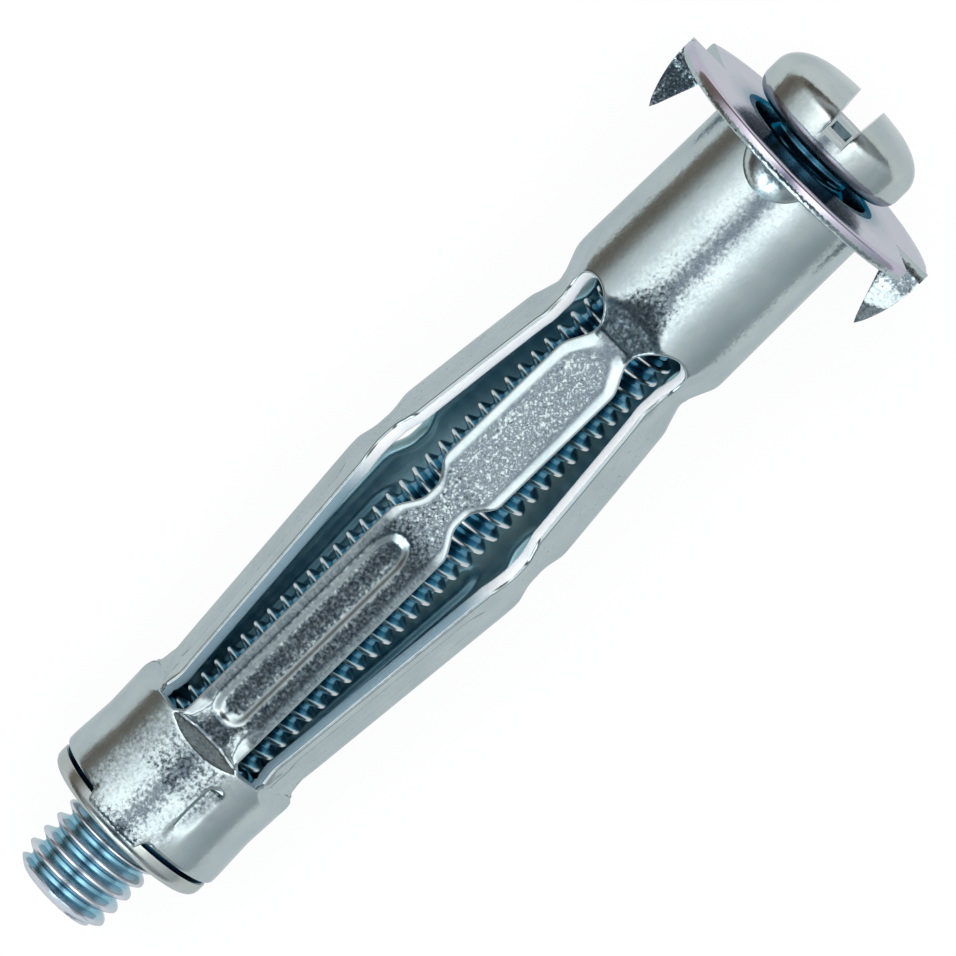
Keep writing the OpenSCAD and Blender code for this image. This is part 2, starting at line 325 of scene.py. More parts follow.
class Builder:
    """Collects vertices and faces, and joins rows of them with quads."""

    def __init__(self):
        self.points, self.faces, self.marks, self.count = [], [], [], 0

    def add(self, points):
        points = np.asarray(points, float)
        ids = self.count + np.arange(points[..., 0].size).reshape(points.shape[:-1])
        self.points.append(points.reshape(-1, 3))
        self.count += ids.size
        return ids

    def quads(self, ids, mark=0, flip=False):
        """Quads over a grid of vertices, row by row."""
        a, b, c, d = ids[:-1, :-1], ids[:-1, 1:], ids[1:, 1:], ids[1:, :-1]
        quads = np.stack([a, b, c, d], -1).reshape(-1, 4)
        if flip:
            quads = quads[:, ::-1]
        self.faces += quads.tolist()
        self.marks += [mark] * len(quads)

    def face(self, ids, mark=0):
        """One face of any number of corners."""
        self.faces.append([int(i) for i in ids])
        self.marks.append(mark)

    def mesh(self, name, weld=0.0005):
        """A mesh in the world, with coincident points welded and empty faces left out."""
        points = np.concatenate(self.points)
        key = np.round(points / weld).astype(np.int64)
        _, first, back = np.unique(key, axis=0, return_index=True, return_inverse=True)
        points, back = points[first], back.reshape(-1).tolist()
        kept, slots = [], []
        for face, mark in zip(self.faces, self.marks):
            face = [back[v] for v in face]
            ring = [v for i, v in enumerate(face) if v != face[i - 1]]
            if len(set(ring)) == len(ring) and len(ring) > 2:
                kept.append(ring)
                slots.append(mark)
        mesh = bpy.data.meshes.new(name)
        mesh.from_pydata(to_world(points).tolist(), [], kept)
        mesh.polygons.foreach_set("material_index", slots)
        outward(mesh)
        return mesh


def closed(lines):
    """Rows of vertices, each brought round to its first."""
    return np.array([np.append(line, line[0]) for line in lines])


def circle(radius, turn, z):
    """Points at a radius and a place along the axis, at each turn in radians."""
    return np.stack([radius * np.cos(turn), radius * np.sin(turn), 0 * turn + z], -1)


def outward(mesh):
    """Turns every face of a closed mesh to look outwards."""
    work = bmesh.new()
    work.from_mesh(mesh)
    bmesh.ops.recalc_face_normals(work, faces=work.faces)
    work.to_mesh(mesh)
    work.free()


def place(mesh, name, materials=()):
    for material in materials:
        mesh.materials.append(material)
    piece = bpy.data.objects.new(name, mesh)
    bpy.context.scene.collection.objects.link(piece)
    return piece


def apply_modifiers(piece):
    """Gives a piece the mesh that its modifiers make."""
    bpy.context.view_layer.update()
    made = bpy.data.meshes.new_from_object(piece.evaluated_get(bpy.context.evaluated_depsgraph_get()))
    piece.modifiers.clear()
    piece.data = made


def join_or_cut(piece, other, operation):
    """Joins another closed mesh to a piece or cuts it out, and removes it."""
    step = piece.modifiers.new("combine", "BOOLEAN")
    step.operation = operation
    step.solver = "MANIFOLD"
    step.object = other
    apply_modifiers(piece)
    bpy.data.objects.remove(other)


def soften(piece, width, angle):
    """Rounds the sharp edges of a piece by a width in millimetres."""
    step = piece.modifiers.new("soften", "BEVEL")
    step.width = width * MM
    step.segments = 2
    step.limit_method = "ANGLE"
    step.angle_limit = math.radians(angle)
    step.harden_normals = False
    apply_modifiers(piece)


def over_stops(z, *stops):
    """A value at a place along the axis, between stops given as (place, value)."""
    return np.interp(z, *zip(*stops))


def worked(local):
    """How hard pressing has worked the sleeve's outside: on its flats, and on a strip beyond."""
    z = local[:, 2]
    r = round_r(z)
    turn = np.degrees(np.arctan2(local[:, 1], local[:, 0])) - LEG_TURN
    theta = np.radians((turn + STEP / 2) % STEP - STEP / 2)
    off = np.abs(r * np.sin(theta))
    leg = window((13.2, 14.2, 43.0, 44.5), z)
    edge = np.where(leg > 0, flat_half(z), FLAT_HALF)
    flat = smooth_step(0.0, 0.1, r * np.cos(theta) - pressed_x(z))
    flat = flat * (1 - leg * smooth_step(edge - 0.11, edge + 0.05, off))
    flat = flat * over_stops(
        z, (9.5, 0.5), (11, 0.16), (13.1, 0.24), (13.8, 1), (26.5, 1), (29, 0.3), (43, 0.3), (45, 0.5))
    inside = rib_inside(r * np.sin(theta), z)
    bare = np.where((r * np.sin(theta) < RIB_SIDE) | (z < RIB_TOP + 1), 0.9, 0.2)
    flat = flat * (1 - bare * leg * smooth_step(-0.06, 0.03, inside) * (1 - smooth_step(0.36, 0.46, inside)))
    beaten = np.abs((turn + LEG_TURN - CRIMP_TURN + 90) % 180 - 90)
    strip = np.where(z < 30, 1 - smooth_step(1.1, 2.3, off), 1 - smooth_step(24, 38, beaten)) * (1 - leg)
    strip = strip * over_stops(
        z, (3, 0.24), (9.5, 0.5), (11.3, 0.2), (13.5, 0.25), (43.5, 0.35), (46, 0.5), (49, 0.7))
    return np.where(np.hypot(local[:, 0], local[:, 1]) > 6.6, 0.7, np.maximum(flat, strip))


def upper(local):
    """One on the half of the legs towards the collar and nought on the half towards the tail: where the cut
    walls get a painted highlight and where they get painted shade.
    """
    return 1 - smooth_step(26.0, 29.5, local[:, 2])


def clear(local):
    """Nought at the collar's hole and one further out: near nought the collar gets a painted shade and a
    painted dark reflection of the head.
    """
    return smooth_step(4.5, 5.8, np.hypot(local[:, 0], local[:, 1]))


def crest(local):
    """The thread's height from root to tip: nought to 0.45 inside the sleeve and a half to one outside it,
    for painted shade in the roots and inside the sleeve and a painted highlight at the tips inside it.
    """
    z = local[:, 2]
    high = np.clip((np.hypot(local[:, 0], local[:, 1]) - ROOT_R) / (THREAD_R - ROOT_R), 0, 1)
    high = np.where((z > 0) & (z < NUT_TOP + 2), 0.45 * high, 0.5 + 0.5 * high)
    return np.where(z > SCREW_END - 0.3, 1, high)


def mark_vertices(piece, name, rule):
    """Gives each vertex a share between nought and one, for the material to read."""
    mark = piece.data.attributes.new(name, "FLOAT", "POINT")
    mark.data.foreach_set("value", rule(local_vertices(piece.data)).astype(np.float32))


def crease(piece, slot):
    """Makes the seam round the faces in a slot sharp, and gives those faces to the first slot."""
    work = bmesh.new()
    work.from_mesh(piece.data)
    for edge in work.edges:
        if len({face.material_index == slot for face in edge.link_faces}) == 2:
            edge.smooth = False
    for face in work.faces:
        if face.material_index == slot:
            face.material_index = 0
    work.to_mesh(piece.data)
    work.free()


def finish_piece(piece, body, node):
    piece.data.polygons.foreach_set("use_smooth", [True] * len(piece.data.polygons))
    piece.data.set_sharp_from_angle(angle=math.radians(40))
    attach(piece, body)
    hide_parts(node)


# ---------------------------------------------------------------- materials

class Shading:
    """The nodes of a material or a world, with short ways to add them and join them up."""

    def __init__(self, owner):
        owner.use_nodes = True
        self.nodes, self.links = owner.node_tree.nodes, owner.node_tree.links

    def feed(self, socket, value):
        """Joins another node's output to a socket, or sets the socket to a number or a colour."""
        if isinstance(value, bpy.types.NodeSocket):
            self.links.new(value, socket)
        elif socket.type == "RGBA":
            socket.default_value = (*value, 1)
        else:
            socket.default_value = value

    def add(self, kind, feeds, output=0, **settings):
        """A new node of a kind, with its inputs fed, and the output asked for."""
        node = self.nodes.new("ShaderNode" + kind)
        for name, value in settings.items():
            setattr(node, name, value)
        for socket, value in feeds.items():
            self.feed(node.inputs[socket], value)
        return node.outputs[output]

    def sums(self, operation, *values):
        return self.add("Math", dict(enumerate(values)), operation=operation)

    def vectors(self, operation, *values):
        return self.add("VectorMath", dict(enumerate(values)), operation=operation)

    def where(self):
        return self.add("TexCoord", {}, "Object")

    def ray(self, kind):
        """One for the rays of a kind, and nought for all others."""
        return self.add("LightPath", {}, f"Is {kind} Ray")

    def noise(self, where, scale, detail, output="Fac", roughness=0.5):
        feeds = {"Vector": where, "Scale": scale, "Detail": detail, "Roughness": roughness}
        return self.add("TexNoise", feeds, output)

    def ranged(self, value, low, high, to_low=0, to_high=1):
        """A value moved from one range to another."""
        feeds = {"Value": value, "From Min": low, "From Max": high, "To Min": to_low, "To Max": to_high}
        return self.add("MapRange", feeds)

    def blend(self, share, low, high, blend_type="MIX"):
        """A colour between two, by a share."""
        return self.add("Mix", {0: share, 6: low, 7: high}, 2, data_type="RGBA", blend_type=blend_type)

    def ramp(self, share, stops, low, high):
        """The colour at a share of the way along stops whose places run from low to high."""
        node = self.nodes.new("ShaderNodeValToRGB")
        elements = node.color_ramp.elements
        while len(elements) > 1:
            elements.remove(elements[-1])
        for i, (at, colour) in enumerate(stops):
            at = (at - low) / (high - low)
            element = elements.new(at) if i else elements[0]
            element.position = at
            element.color = (*colour, 1)
        self.feed(node.inputs["Fac"], share)
        return node.outputs["Color"]

    def show(self, output, share, first, second):
        """Ends in a mix of two shaders, by a share of the second."""
        mix = self.add("MixShader", {0: share, 1: first, 2: second})
        self.feed(self.nodes[output].inputs["Surface"], mix)


def thrown_off(shading, where, amount):
    """The way a face looks, thrown off from place to place as a pickled and plated surface is."""
    speckle = shading.noise(where, 4600, 3, "Color", 0.6)
    level = shading.vectors("SUBTRACT", speckle, (0.5, 0.5, 0.5))
    scaled = shading.add("VectorMath", {0: level, "Scale": amount}, operation="SCALE")
    normal = shading.add("NewGeometry", {}, "Normal")
    return shading.vectors("NORMALIZE", shading.vectors("ADD", normal, scaled))


def metal(
    name, colour, dark, roughness, grain, mark=None, marked=(), wave=1.0, tint=(0.72, 0.77, 0.79), gloss=1.0,
):
    """Zinc-plated steel: a fine grain in the plating, and a slow change of colour.

    Where a mark is given, the grain goes from its first value to its second as the mark goes from
    nought to one, and each of marked gives the mark's range over which a painted shade or highlight fades
    out."""
    material = bpy.data.materials.new(name)
    shading = Shading(material)
    where = shading.where()
    patch = shading.ranged(shading.noise(where, 420, 5), 0.36, 0.64)
    base = shading.blend(patch, dark, colour)
    fine = shading.noise(where, 6400, 2)
    slow = shading.noise(where, 1500, 2)
    rough = shading.ranged(fine, 0.3, 0.7, roughness - 0.04, roughness + 0.05)
    amount = grain[0]
    if mark:
        share = shading.add("Attribute", {}, "Fac", attribute_name=mark)
        amount = shading.ranged(share, 0, 1, *grain)
        for low, high, shade in marked:
            base = shading.blend(shading.ranged(share, low, high), shade, base)
    swell = {"Distance": 0.00001 * wave, "Height": slow, "Normal": thrown_off(shading, where, amount)}
    shader = shading.nodes["Principled BSDF"]
    for socket, value in (
        ("Metallic", gloss), ("Specular Tint", tint), ("Base Color", base), ("Roughness", rough),
        ("Normal", shading.add("Bump", swell)),
    ):
        shading.feed(shader.inputs[socket], value)
    return material


plated = metal(
    "plated_steel", (0.435, 0.505, 0.515), (0.38, 0.45, 0.465), 0.20, (0.03, 0.90), "worked", wave=1.1)
inner = metal("plated_steel_inside", (0.30, 0.49, 0.54), (0.21, 0.39, 0.45), 0.32, (0.10,))
# painted highlight and painted shade: the cut walls are near white and barely metallic on the half towards
# the collar, and dark blue-grey towards the tail
cut_edge = metal(
    "plated_steel_edge_painted_highlight_and_shade", (0.95, 0.96, 0.96), (0.90, 0.92, 0.93), 0.36, (0.45, 0.12), "upper",
    ((0.0, 1.0, (0.25, 0.36, 0.42)),), gloss=0.1)
# painted shade and painted reflection: dark navy on the collar round its hole, under the head
collar_steel = metal(
    "plated_steel_collar_painted_shade", (0.52, 0.46, 0.55), (0.44, 0.44, 0.53), 0.14, (0.02, 0.02), "clear",
    ((0.0, 1.0, (0.05, 0.13, 0.20)),), wave=0.6)
nut_steel = metal("nut_steel", (0.46, 0.50, 0.48), (0.39, 0.44, 0.43), 0.22, (0.05,))
screw_steel = metal("screw_steel", (0.46, 0.515, 0.515), (0.38, 0.44, 0.445), 0.17, (0.05,), wave=1.8)
# painted shade and painted highlight: the thread gets darker and bluer towards its roots and darker inside
# the sleeve, with a pale band at the tips inside the sleeve
thread_steel = metal(
    "thread_steel", (0.60, 0.63, 0.67), (0.52, 0.57, 0.63), 0.20, (0.07, 0.07), "crest",
    ((0.6, 0.95, (0.36, 0.56, 0.65)), (0.5, 0.62, (0.22, 0.44, 0.55)), (0.46, 0.5, (0.62, 0.64, 0.64)),
     (0.33, 0.44, (0.17, 0.40, 0.52)), (0.0, 0.33, (0.06, 0.21, 0.31))))
# painted shade: a dark blue standing for the shade under the head, on the head's underside, the screw's neck,
# the collar's hole and the nut's body inside the sleeve
under_steel = metal(
    "painted_shade_under_head_steel", (0.09, 0.26, 0.36), (0.06, 0.18, 0.26), 0.25, (0.05,), tint=(0.15, 0.25, 0.32))
# painted shade: a dark colour for the pit in the head's slot
recess_steel = metal("recess_steel", (0.12, 0.19, 0.22), (0.07, 0.12, 0.15), 0.25, (0.2,))
SLEEVE_FINISH = [plated, inner, cut_edge, collar_steel, under_steel, plated]
SCREW_FINISH = [screw_steel, thread_steel, under_steel, recess_steel]

# Places of the materials in those lists. The knobs have a slot of their own while they are joined
# on, so that their seams can be found.
OUTSIDE, INSIDE, CUT_EDGE, COLLAR, UNDER_HEAD, KNOB_SLOT = range(6)
HEAD, THREAD, SCREW_NECK, RECESS = range(4)

# ---------------------------------------------------------------- the sleeve

# Places across a leg as shares of its half width, closer together at the edges of the flat and the rib
LEG_COLUMNS = np.array([
    -1.965, -1.85, -1.72, -1.6, -1.48, -1.34, -1.15, -0.95, -0.80, -0.70, -0.60, -0.50, -0.40, -0.28,
    0.0, 0.3, 0.6, 0.86, 0.98, 1.08, 1.18, 1.28, 1.38, 1.50, 1.6, 1.72, 1.85, 1.965,
]) / 1.965
SLOT_COLUMNS = 7


def sleeve_rows():
    """Places of the rows on a leg, closer together where its form changes most."""
    spans = [
        (GRID_TOP, SLOT_TOP, 8), (SLOT_TOP, ARCH_SPLIT, 22), (ARCH_SPLIT, ARCH_Z, 10), (ARCH_Z, 15.6, 20),
        (15.6, 23.2, 12), (23.2, 28.0, 34), (28.0, 29.8, 15), (29.8, 41.0, 14),
        (41.0, 43.1, 18), (43.1, FOOT_SPLIT, 6), (FOOT_SPLIT, SETTLE_Z, 18), (SETTLE_Z, GRID_END, 18),
    ]
    rows = [spans[0][0]]
    for low, high, count in spans:
        rows += list(np.linspace(low, high, count + 1)[1:])
    return np.array(rows)


def edge_normal(z):
    """The direction out of a leg at its edge, as shares across and along."""
    step = 0.01
    slope = (half_width(z + step) - half_width(z - step)) / (2 * step)
    length = np.sqrt(1 + slope**2)
    return 1 / length, -slope / length


def half_width(z):
    return round_r(z) * np.sin(edge_angle(z))


def sleeve_grid(builder, depth):
    """The sleeve's outer or inner face as a grid of vertices, without the slots."""
    rows = sleeve_rows()
    arch = np.searchsorted(rows, ARCH_SPLIT - 1e-6)
    foot = np.searchsorted(rows, FOOT_SPLIT - 1e-6)
    sectors = []
    for sector in range(LEGS):
        z = rows[:, None] + 0 * LEG_COLUMNS[None, :]
        share = LEG_COLUMNS[None, :] + 0 * z
        slot_z = np.clip(rows, ARCH_SPLIT, FOOT_SPLIT)
        across, along = edge_normal(np.clip(slot_z, ARCH_SPLIT + 0.011, FOOT_SPLIT - 0.011))
        fade = np.where(
            rows < ARCH_SPLIT, smooth_step(SLOT_TOP, ARCH_SPLIT, rows),
            np.where(rows > FOOT_SPLIT, 1 - smooth_step(FOOT_SPLIT, SETTLE_Z, rows), 1.0))
        half = half_width(slot_z) - EDGE * across
        angle = np.arcsin(half / round_r(slot_z))
        if sector in REAR_LEGS:
            angle = angle + REAR_WAIST * window(WAIST, slot_z) / round_r(slot_z)
        theta = angle[:, None] * share
        z = z - (EDGE * along * fade)[:, None] * np.abs(share) ** 3
        leg = builder.add(turned(shell(theta, z, sector, depth), LEG_TURN + STEP * sector))

        # between this leg and the next, above the arch and below the foot of the slot
        slot = np.full((len(rows), 2 * SLOT_COLUMNS + 1), -1)
        j = np.arange(-SLOT_COLUMNS, SLOT_COLUMNS + 1)
        arch_turn = np.radians(45 * np.abs(j) / SLOT_COLUMNS)
        arch_u = (ARCH_R + EDGE) * np.sin(arch_turn)
        arch_z = ARCH_Z - (ARCH_R + EDGE) * np.cos(arch_turn)
        foot_half = half_slot(FOOT_SPLIT) - CORNER * (1 - math.sqrt(0.5)) + EDGE * math.sqrt(0.5)
        foot_u = foot_half * np.abs(j) / SLOT_COLUMNS
        out = np.maximum(foot_u - FOOT_LINE, 0)
        foot_z = SLOT_END - CORNER + np.sqrt(np.maximum((CORNER + EDGE) ** 2 - out**2, 0))
        for i in range(len(rows)):
            if arch < i < foot:
                continue
            far, split = (SLOT_TOP, ARCH_SPLIT) if i <= arch else (SETTLE_Z, FOOT_SPLIT)
            low_u, low_z = (arch_u, arch_z) if i <= arch else (foot_u, foot_z)
            v = max(0.0, (rows[i] - far) / (split - far))
            side = angle[i]
            even = (HALF_STEP - side) * np.abs(j) / SLOT_COLUMNS
            level = far + v * (low_z - far) if v > 0 else rows[i] + 0 * low_z
            row_z = level + (z[i, -1] - level[0])
            low = np.arcsin(low_u / round_r(row_z))
            beta = even + v * (low * (HALF_STEP - side) / max(low[0], 1e-9) - even)
            theta_slot = np.where(j <= 0, HALF_STEP - beta, -(HALF_STEP - beta))
            turn = LEG_TURN + STEP * np.where(j <= 0, sector, sector + 1)
            pts = np.stack([
                turned(shell(theta_slot[n], row_z[n], sector if j[n] <= 0 else sector + 1, depth), turn[n])
                for n in range(len(j))])
            slot[i, 1:-1] = builder.add(pts[1:-1])
        sectors.append((leg, slot))
    for sector in range(LEGS):
        leg, slot = sectors[sector]
        after = sectors[(sector + 1) % LEGS][0]
        slot[:, 0] = leg[:, -1]
        slot[:, -1] = after[:, 0]
    return rows, arch, foot, sectors


def slot_loop(arch, foot, sector, sectors):
    """The vertices round one slot, in order."""
    leg, slot = sectors[sector]
    after = sectors[(sector + 1) % LEGS][0]
    down = list(leg[arch:foot + 1, -1])
    across = list(slot[foot, 1:-1])
    up = list(after[arch:foot + 1, 0][::-1])
    back = list(slot[arch, 1:-1][::-1])
    return np.array(down + across + up + back)


def loop_directions(outer, inner):
    """At each vertex round a slot, the way out of the metal and the way out of its face."""
    along = np.roll(outer, -1, 0) - np.roll(outer, 1, 0)
    along /= np.linalg.norm(along, axis=1)[:, None]
    face = outer - inner
    face -= (face * along).sum(1)[:, None] * along
    face /= np.linalg.norm(face, axis=1)[:, None]
    way = np.cross(along, face)
    return way, face


def build_sleeve():
    builder = Builder()
    rows, arch, foot, outer = sleeve_grid(builder, 0.0)
    _, _, _, inner = sleeve_grid(builder, WALL)
    points = np.concatenate(builder.points)

    # full rings of vertices above and below the slots
    def ring(sectors, i):
        return np.concatenate([np.concatenate([leg[i], slot[i, 1:-1]]) for leg, slot in sectors])

    for mark, sectors in ((OUTSIDE, outer), (INSIDE, inner)):
        flip = mark == INSIDE
        for leg, slot in sectors:
            builder.quads(leg, mark, flip)
            builder.quads(slot[:arch + 1], mark, flip)
            builder.quads(slot[foot:], mark, flip)

    # rounded edges round each slot
    bends = np.radians([30, 60, 90])
    for sector in range(LEGS):
        out_ids = slot_loop(arch, foot, sector, outer)
        in_ids = slot_loop(arch, foot, sector, inner)
        out_p, in_p = points[out_ids], points[in_ids]
        way, face = loop_directions(out_p, in_p)
        centre = points[out_ids].mean(0)
        if ((centre - out_p) * way).sum() < 0:
            way = -way
        lines = [out_ids]
        for bend in bends:
            at = out_p + way * EDGE * math.sin(bend) - face * EDGE * (1 - math.cos(bend))
            lines.append(builder.add(at))
        for bend in bends[::-1]:
            at = in_p + way * EDGE * math.sin(bend) + face * EDGE * (1 - math.cos(bend))
            lines.append(builder.add(at))
        lines.append(in_ids)
        strip = closed(lines)
        builder.quads(strip[:4], OUTSIDE)
        # painted shade: the walls of the two side slots get the darker inside colour instead of the cut-edge
        # one
        builder.quads(strip[3:], INSIDE if sector in SHADED_SLOTS else CUT_EDGE)

    # from the barrel up over the collar and down into the bore
    first_out, first_in = ring(outer, 0), ring(inner, 0)
    turn = np.arctan2(points[first_out][:, 1], points[first_out][:, 0])
    flat = WALL / 2 - RIM_ROUND
    rim = []
    for t in np.radians([-90, -60, -30, 0, 30, 60, 90]):
        z = -WALL / 2 - flat * np.sign(math.sin(t)) - RIM_ROUND * math.sin(t)
        rim.append((COLLAR_R - RIM_ROUND + RIM_ROUND * math.cos(t), z))
    top_r = BARREL_R - 0.03
    bend = 0.45
    fillet = [(BARREL_R + bend - bend * math.cos(t) - 0.03, bend - bend * math.sin(t))
              for t in np.radians([0, 22, 45, 68, 90])]
    hole = [(HOLE_R + 0.08, -WALL), (HOLE_R + 0.02, -WALL + 0.03), (HOLE_R, -WALL + 0.1)]
    profile = [(top_r, 1.6), (top_r, 0.8)] + fillet + [(6.4, 0), (7.4, 0)] + rim
    profile += [(r, -WALL) for r in (8.1, 7.2, 6.3, 5.3, 4.85, 4.6)] + hole
    profile += [(HOLE_R, 0.4), (HOLE_R + 0.1, 0.6), (BARREL_R - WALL, 1.2)]
    strip = closed([first_out] + [builder.add(circle(r, turn, z)) for r, z in profile] + [first_in])
    top = 1 + [z for _, z in profile].index(-WALL)
    builder.quads(strip[:top - 2], OUTSIDE, flip=True)
    # painted shade: the collar's hole and the top of the bore get the dark under-head colour
    shade = 1 + profile.index(hole[0])
    builder.quads(strip[top - 3:shade], COLLAR, flip=True)
    builder.quads(strip[shade - 1:], UNDER_HEAD, flip=True)

    # from the end of the tail grid over its lips to the inner face
    last_out, last_in = ring(outer, -1), ring(inner, -1)
    turn = np.arctan2(points[last_out][:, 1], points[last_out][:, 0])
    lines = [last_out]
    lip = lip_window(np.degrees(turn))
    end_z = SLEEVE_END + (CRIMP_END - SLEEVE_END) * lip
    start = rows[-1]

    def tail_ring(z, depth, shift):
        """The tail's face at z as a ring of points, each from its nearest leg, moved outwards by shift."""
        pts, off = [], []
        for sector in range(LEGS + 1):
            theta = turn - math.radians(LEG_TURN + STEP * sector)
            theta = (theta + math.pi) % (2 * math.pi) - math.pi
            off.append(np.abs(theta))
            pts.append(turned(shell(theta, z, sector, depth), LEG_TURN + STEP * sector))
        pts = np.array(pts)[np.argmin(off, 0), np.arange(len(turn))]
        pts[:, :2] *= (1 + shift / np.hypot(pts[:, 0], pts[:, 1]))[:, None]
        return pts

    for share in np.linspace(0, 1, 13)[1:]:
        lines.append(builder.add(tail_ring(start + (end_z - LIP_T - start) * share, 0.0, 0)))
    lines.append(builder.add(tail_ring(end_z - 0.035, 0.0, -0.035)))
    lines.append(builder.add(tail_ring(end_z, 0.0, -LIP_T)))
    lines.append(builder.add(tail_ring(end_z, WALL, 0.04)))
    for share in np.linspace(1, 0, 13)[:-1]:
        lines.append(builder.add(tail_ring(start + (end_z - 0.05 - start) * share, WALL, 0)))
    lines.append(last_in)
    builder.quads(closed(lines), OUTSIDE)
    return place(builder.mesh("sleeve"), "sleeve", SLEEVE_FINISH)


def lathe(builder, profile):
    """A closed profile of (radius, place) turned about the axis."""
    turn = np.linspace(0, 2 * math.pi, 96, endpoint=False)
    lines = [builder.add(circle(r, turn, z)) for r, z in profile]
    builder.quads(closed(lines + [lines[0]]))


def turn_piece(piece, degrees):
    """Turns a piece's mesh about the anchor's axis."""
    mesh = piece.data
    mesh.vertices.foreach_set("co", to_world(turned(local_vertices(mesh), degrees)).ravel())
    mesh.update()
    return piece


def block(low, high):
    """A block between two corners in the anchor's frame."""
    builder = Builder()
    xs, ys, zs = zip(low, high)
    corners = builder.add([[x, y, z] for x in xs for y in ys for z in zs])
    for a, b, c, d in ((0, 1, 3, 2), (4, 6, 7, 5), (0, 4, 5, 1), (2, 3, 7, 6), (0, 2, 6, 4), (1, 5, 7, 3)):
        builder.quads(corners[np.array([[a, b], [d, c]])])
    return place(builder.mesh("block"), "block", SLEEVE_FINISH)


def knob(turn):
    """A knob pressed into the corner under the collar, as a lens of metal."""
    builder = Builder()
    r, wide, tall = 2.45, 1.02, 1.25
    centre = np.array([BARREL_R - 1.5, 0, -0.6])
    around = np.radians(np.linspace(0, 360, 160, endpoint=False))
    lines = []
    for t in np.radians(np.linspace(0, 180, 81)):
        ring = circle(r * np.sin(t), around, -tall * r * np.cos(t))
        lines.append(builder.add(centre + ring * (1, wide, 1)))
    builder.quads(closed(lines), KNOB_SLOT)
    ball = place(builder.mesh("ball"), "ball", SLEEVE_FINISH)
    join_or_cut(ball, block((BARREL_R - 0.75, -3, -WALL / 2), (BARREL_R + 3, 3, 3)), "INTERSECT")
    return turn_piece(ball, turn)


def flap_edges(depth):
    """The inner and outer distance from the axis of a prong at a depth below its bend."""
    tip = PRONG_TIP + PRONG_START
    d = np.clip(depth + PRONG_START, 0, tip)
    inner = PRONG_ROOT + (math.sqrt(COLLAR_R**2 - tip**2) - 0.1 - PRONG_ROOT) * d / tip
    outer = np.sqrt(COLLAR_R**2 - d**2)
    near = np.clip((tip - d) / 0.45, 0, 1)
    middle = (inner + outer) / 2
    full = np.sqrt(1 - (1 - near) ** 2)
    return middle - (middle - inner) * full, middle + (outer - middle) * full


def row(x, y, z):
    """Points along x, all at one y and z or each at its own."""
    return np.stack([x, 0 * x + y, 0 * x + z], -1)


def prong(turn, twist):
    """A claw bent down from the collar along the edge of its notch."""
    builder = Builder()
    shares = np.linspace(0, 1, 13)
    front, back = [], []
    low, high = flap_edges(0)
    x = low + (high - low) * shares
    front.append(row(x, -0.5, LAP - WALL))
    back.append(row(x, -0.5, -0.1))
    for a in np.radians([0, 15, 30, 45, 60, 75]):
        front.append(row(x, WALL * math.sin(a), (LAP - WALL) * math.cos(a)))
    bend_rows = len(front)
    for d in PRONG_TIP * np.sin(np.radians(np.linspace(0, 90, 28))):
        low, high = flap_edges(d)
        x = low + (high - low) * shares
        across = x - (low + high) / 2
        curl = 0.2 * d * smooth_step(0, 1.2, d) + twist * across * smooth_step(0, 1.5, d)
        bevel = 0.42 * np.maximum(d - 2.15 + 0.5 * across, 0)
        thin = smooth_step(1.6, PRONG_TIP, d)
        front.append(row(x, WALL + curl - bevel, d))
        back.append(row(x, curl + 0.05 * thin - 0.25 * bevel, d))
    fronts = [builder.add(p) for p in front]
    backs = [builder.add(p) for p in back]
    builder.quads(np.array(fronts + [backs[-1]]))
    builder.quads(np.array(backs[::-1]))
    builder.quads(np.array([backs[0], fronts[0]]))
    for end in (0, -1):
        f = [line[end] for line in fronts]
        b = [line[end] for line in backs]
        for i in range(bend_rows):
            builder.face([f[i], f[i + 1], b[1]] + ([b[0]] if i == 0 else []))
        for i in range(bend_rows, len(f) - 1):
            j = i - bend_rows + 1
            builder.face([f[i], f[i + 1], b[j + 1], b[j]])
    return turn_piece(place(builder.mesh("prong"), "prong", SLEEVE_FINISH), turn)


def notch(turn):
    """What is cut out of the collar beside a prong."""
    builder = Builder()
    depth = PRONG_TIP + PRONG_START
    end = math.sqrt(COLLAR_R**2 - depth**2)
    outline = [(PRONG_ROOT, 0.0), (end, depth), (COLLAR_R + 1, depth), (COLLAR_R + 1, 0.0)]
    low = builder.add([[x, y, -WALL - 0.5] for x, y in outline])
    high = builder.add([[x, y, 0.5] for x, y in outline])
    builder.quads(closed([low, high]))
    builder.face(low)
    builder.face(high)
    return turn_piece(place(builder.mesh("notch"), "notch", SLEEVE_FINISH), turn)


sleeve = build_sleeve()
for turn in PRONG_TURNS:
    join_or_cut(sleeve, notch(turn), "DIFFERENCE")
for turn, twist in zip(PRONG_TURNS, PRONG_TWISTS):
    claw = prong(turn, twist)
    soften(claw, 0.12, 50)
    join_or_cut(sleeve, claw, "UNION")
for turn in (KNOB_TURN, KNOB_TURN + 180):
    join_or_cut(sleeve, knob(turn), "UNION")


# ---------------------------------------------------------------- the nut

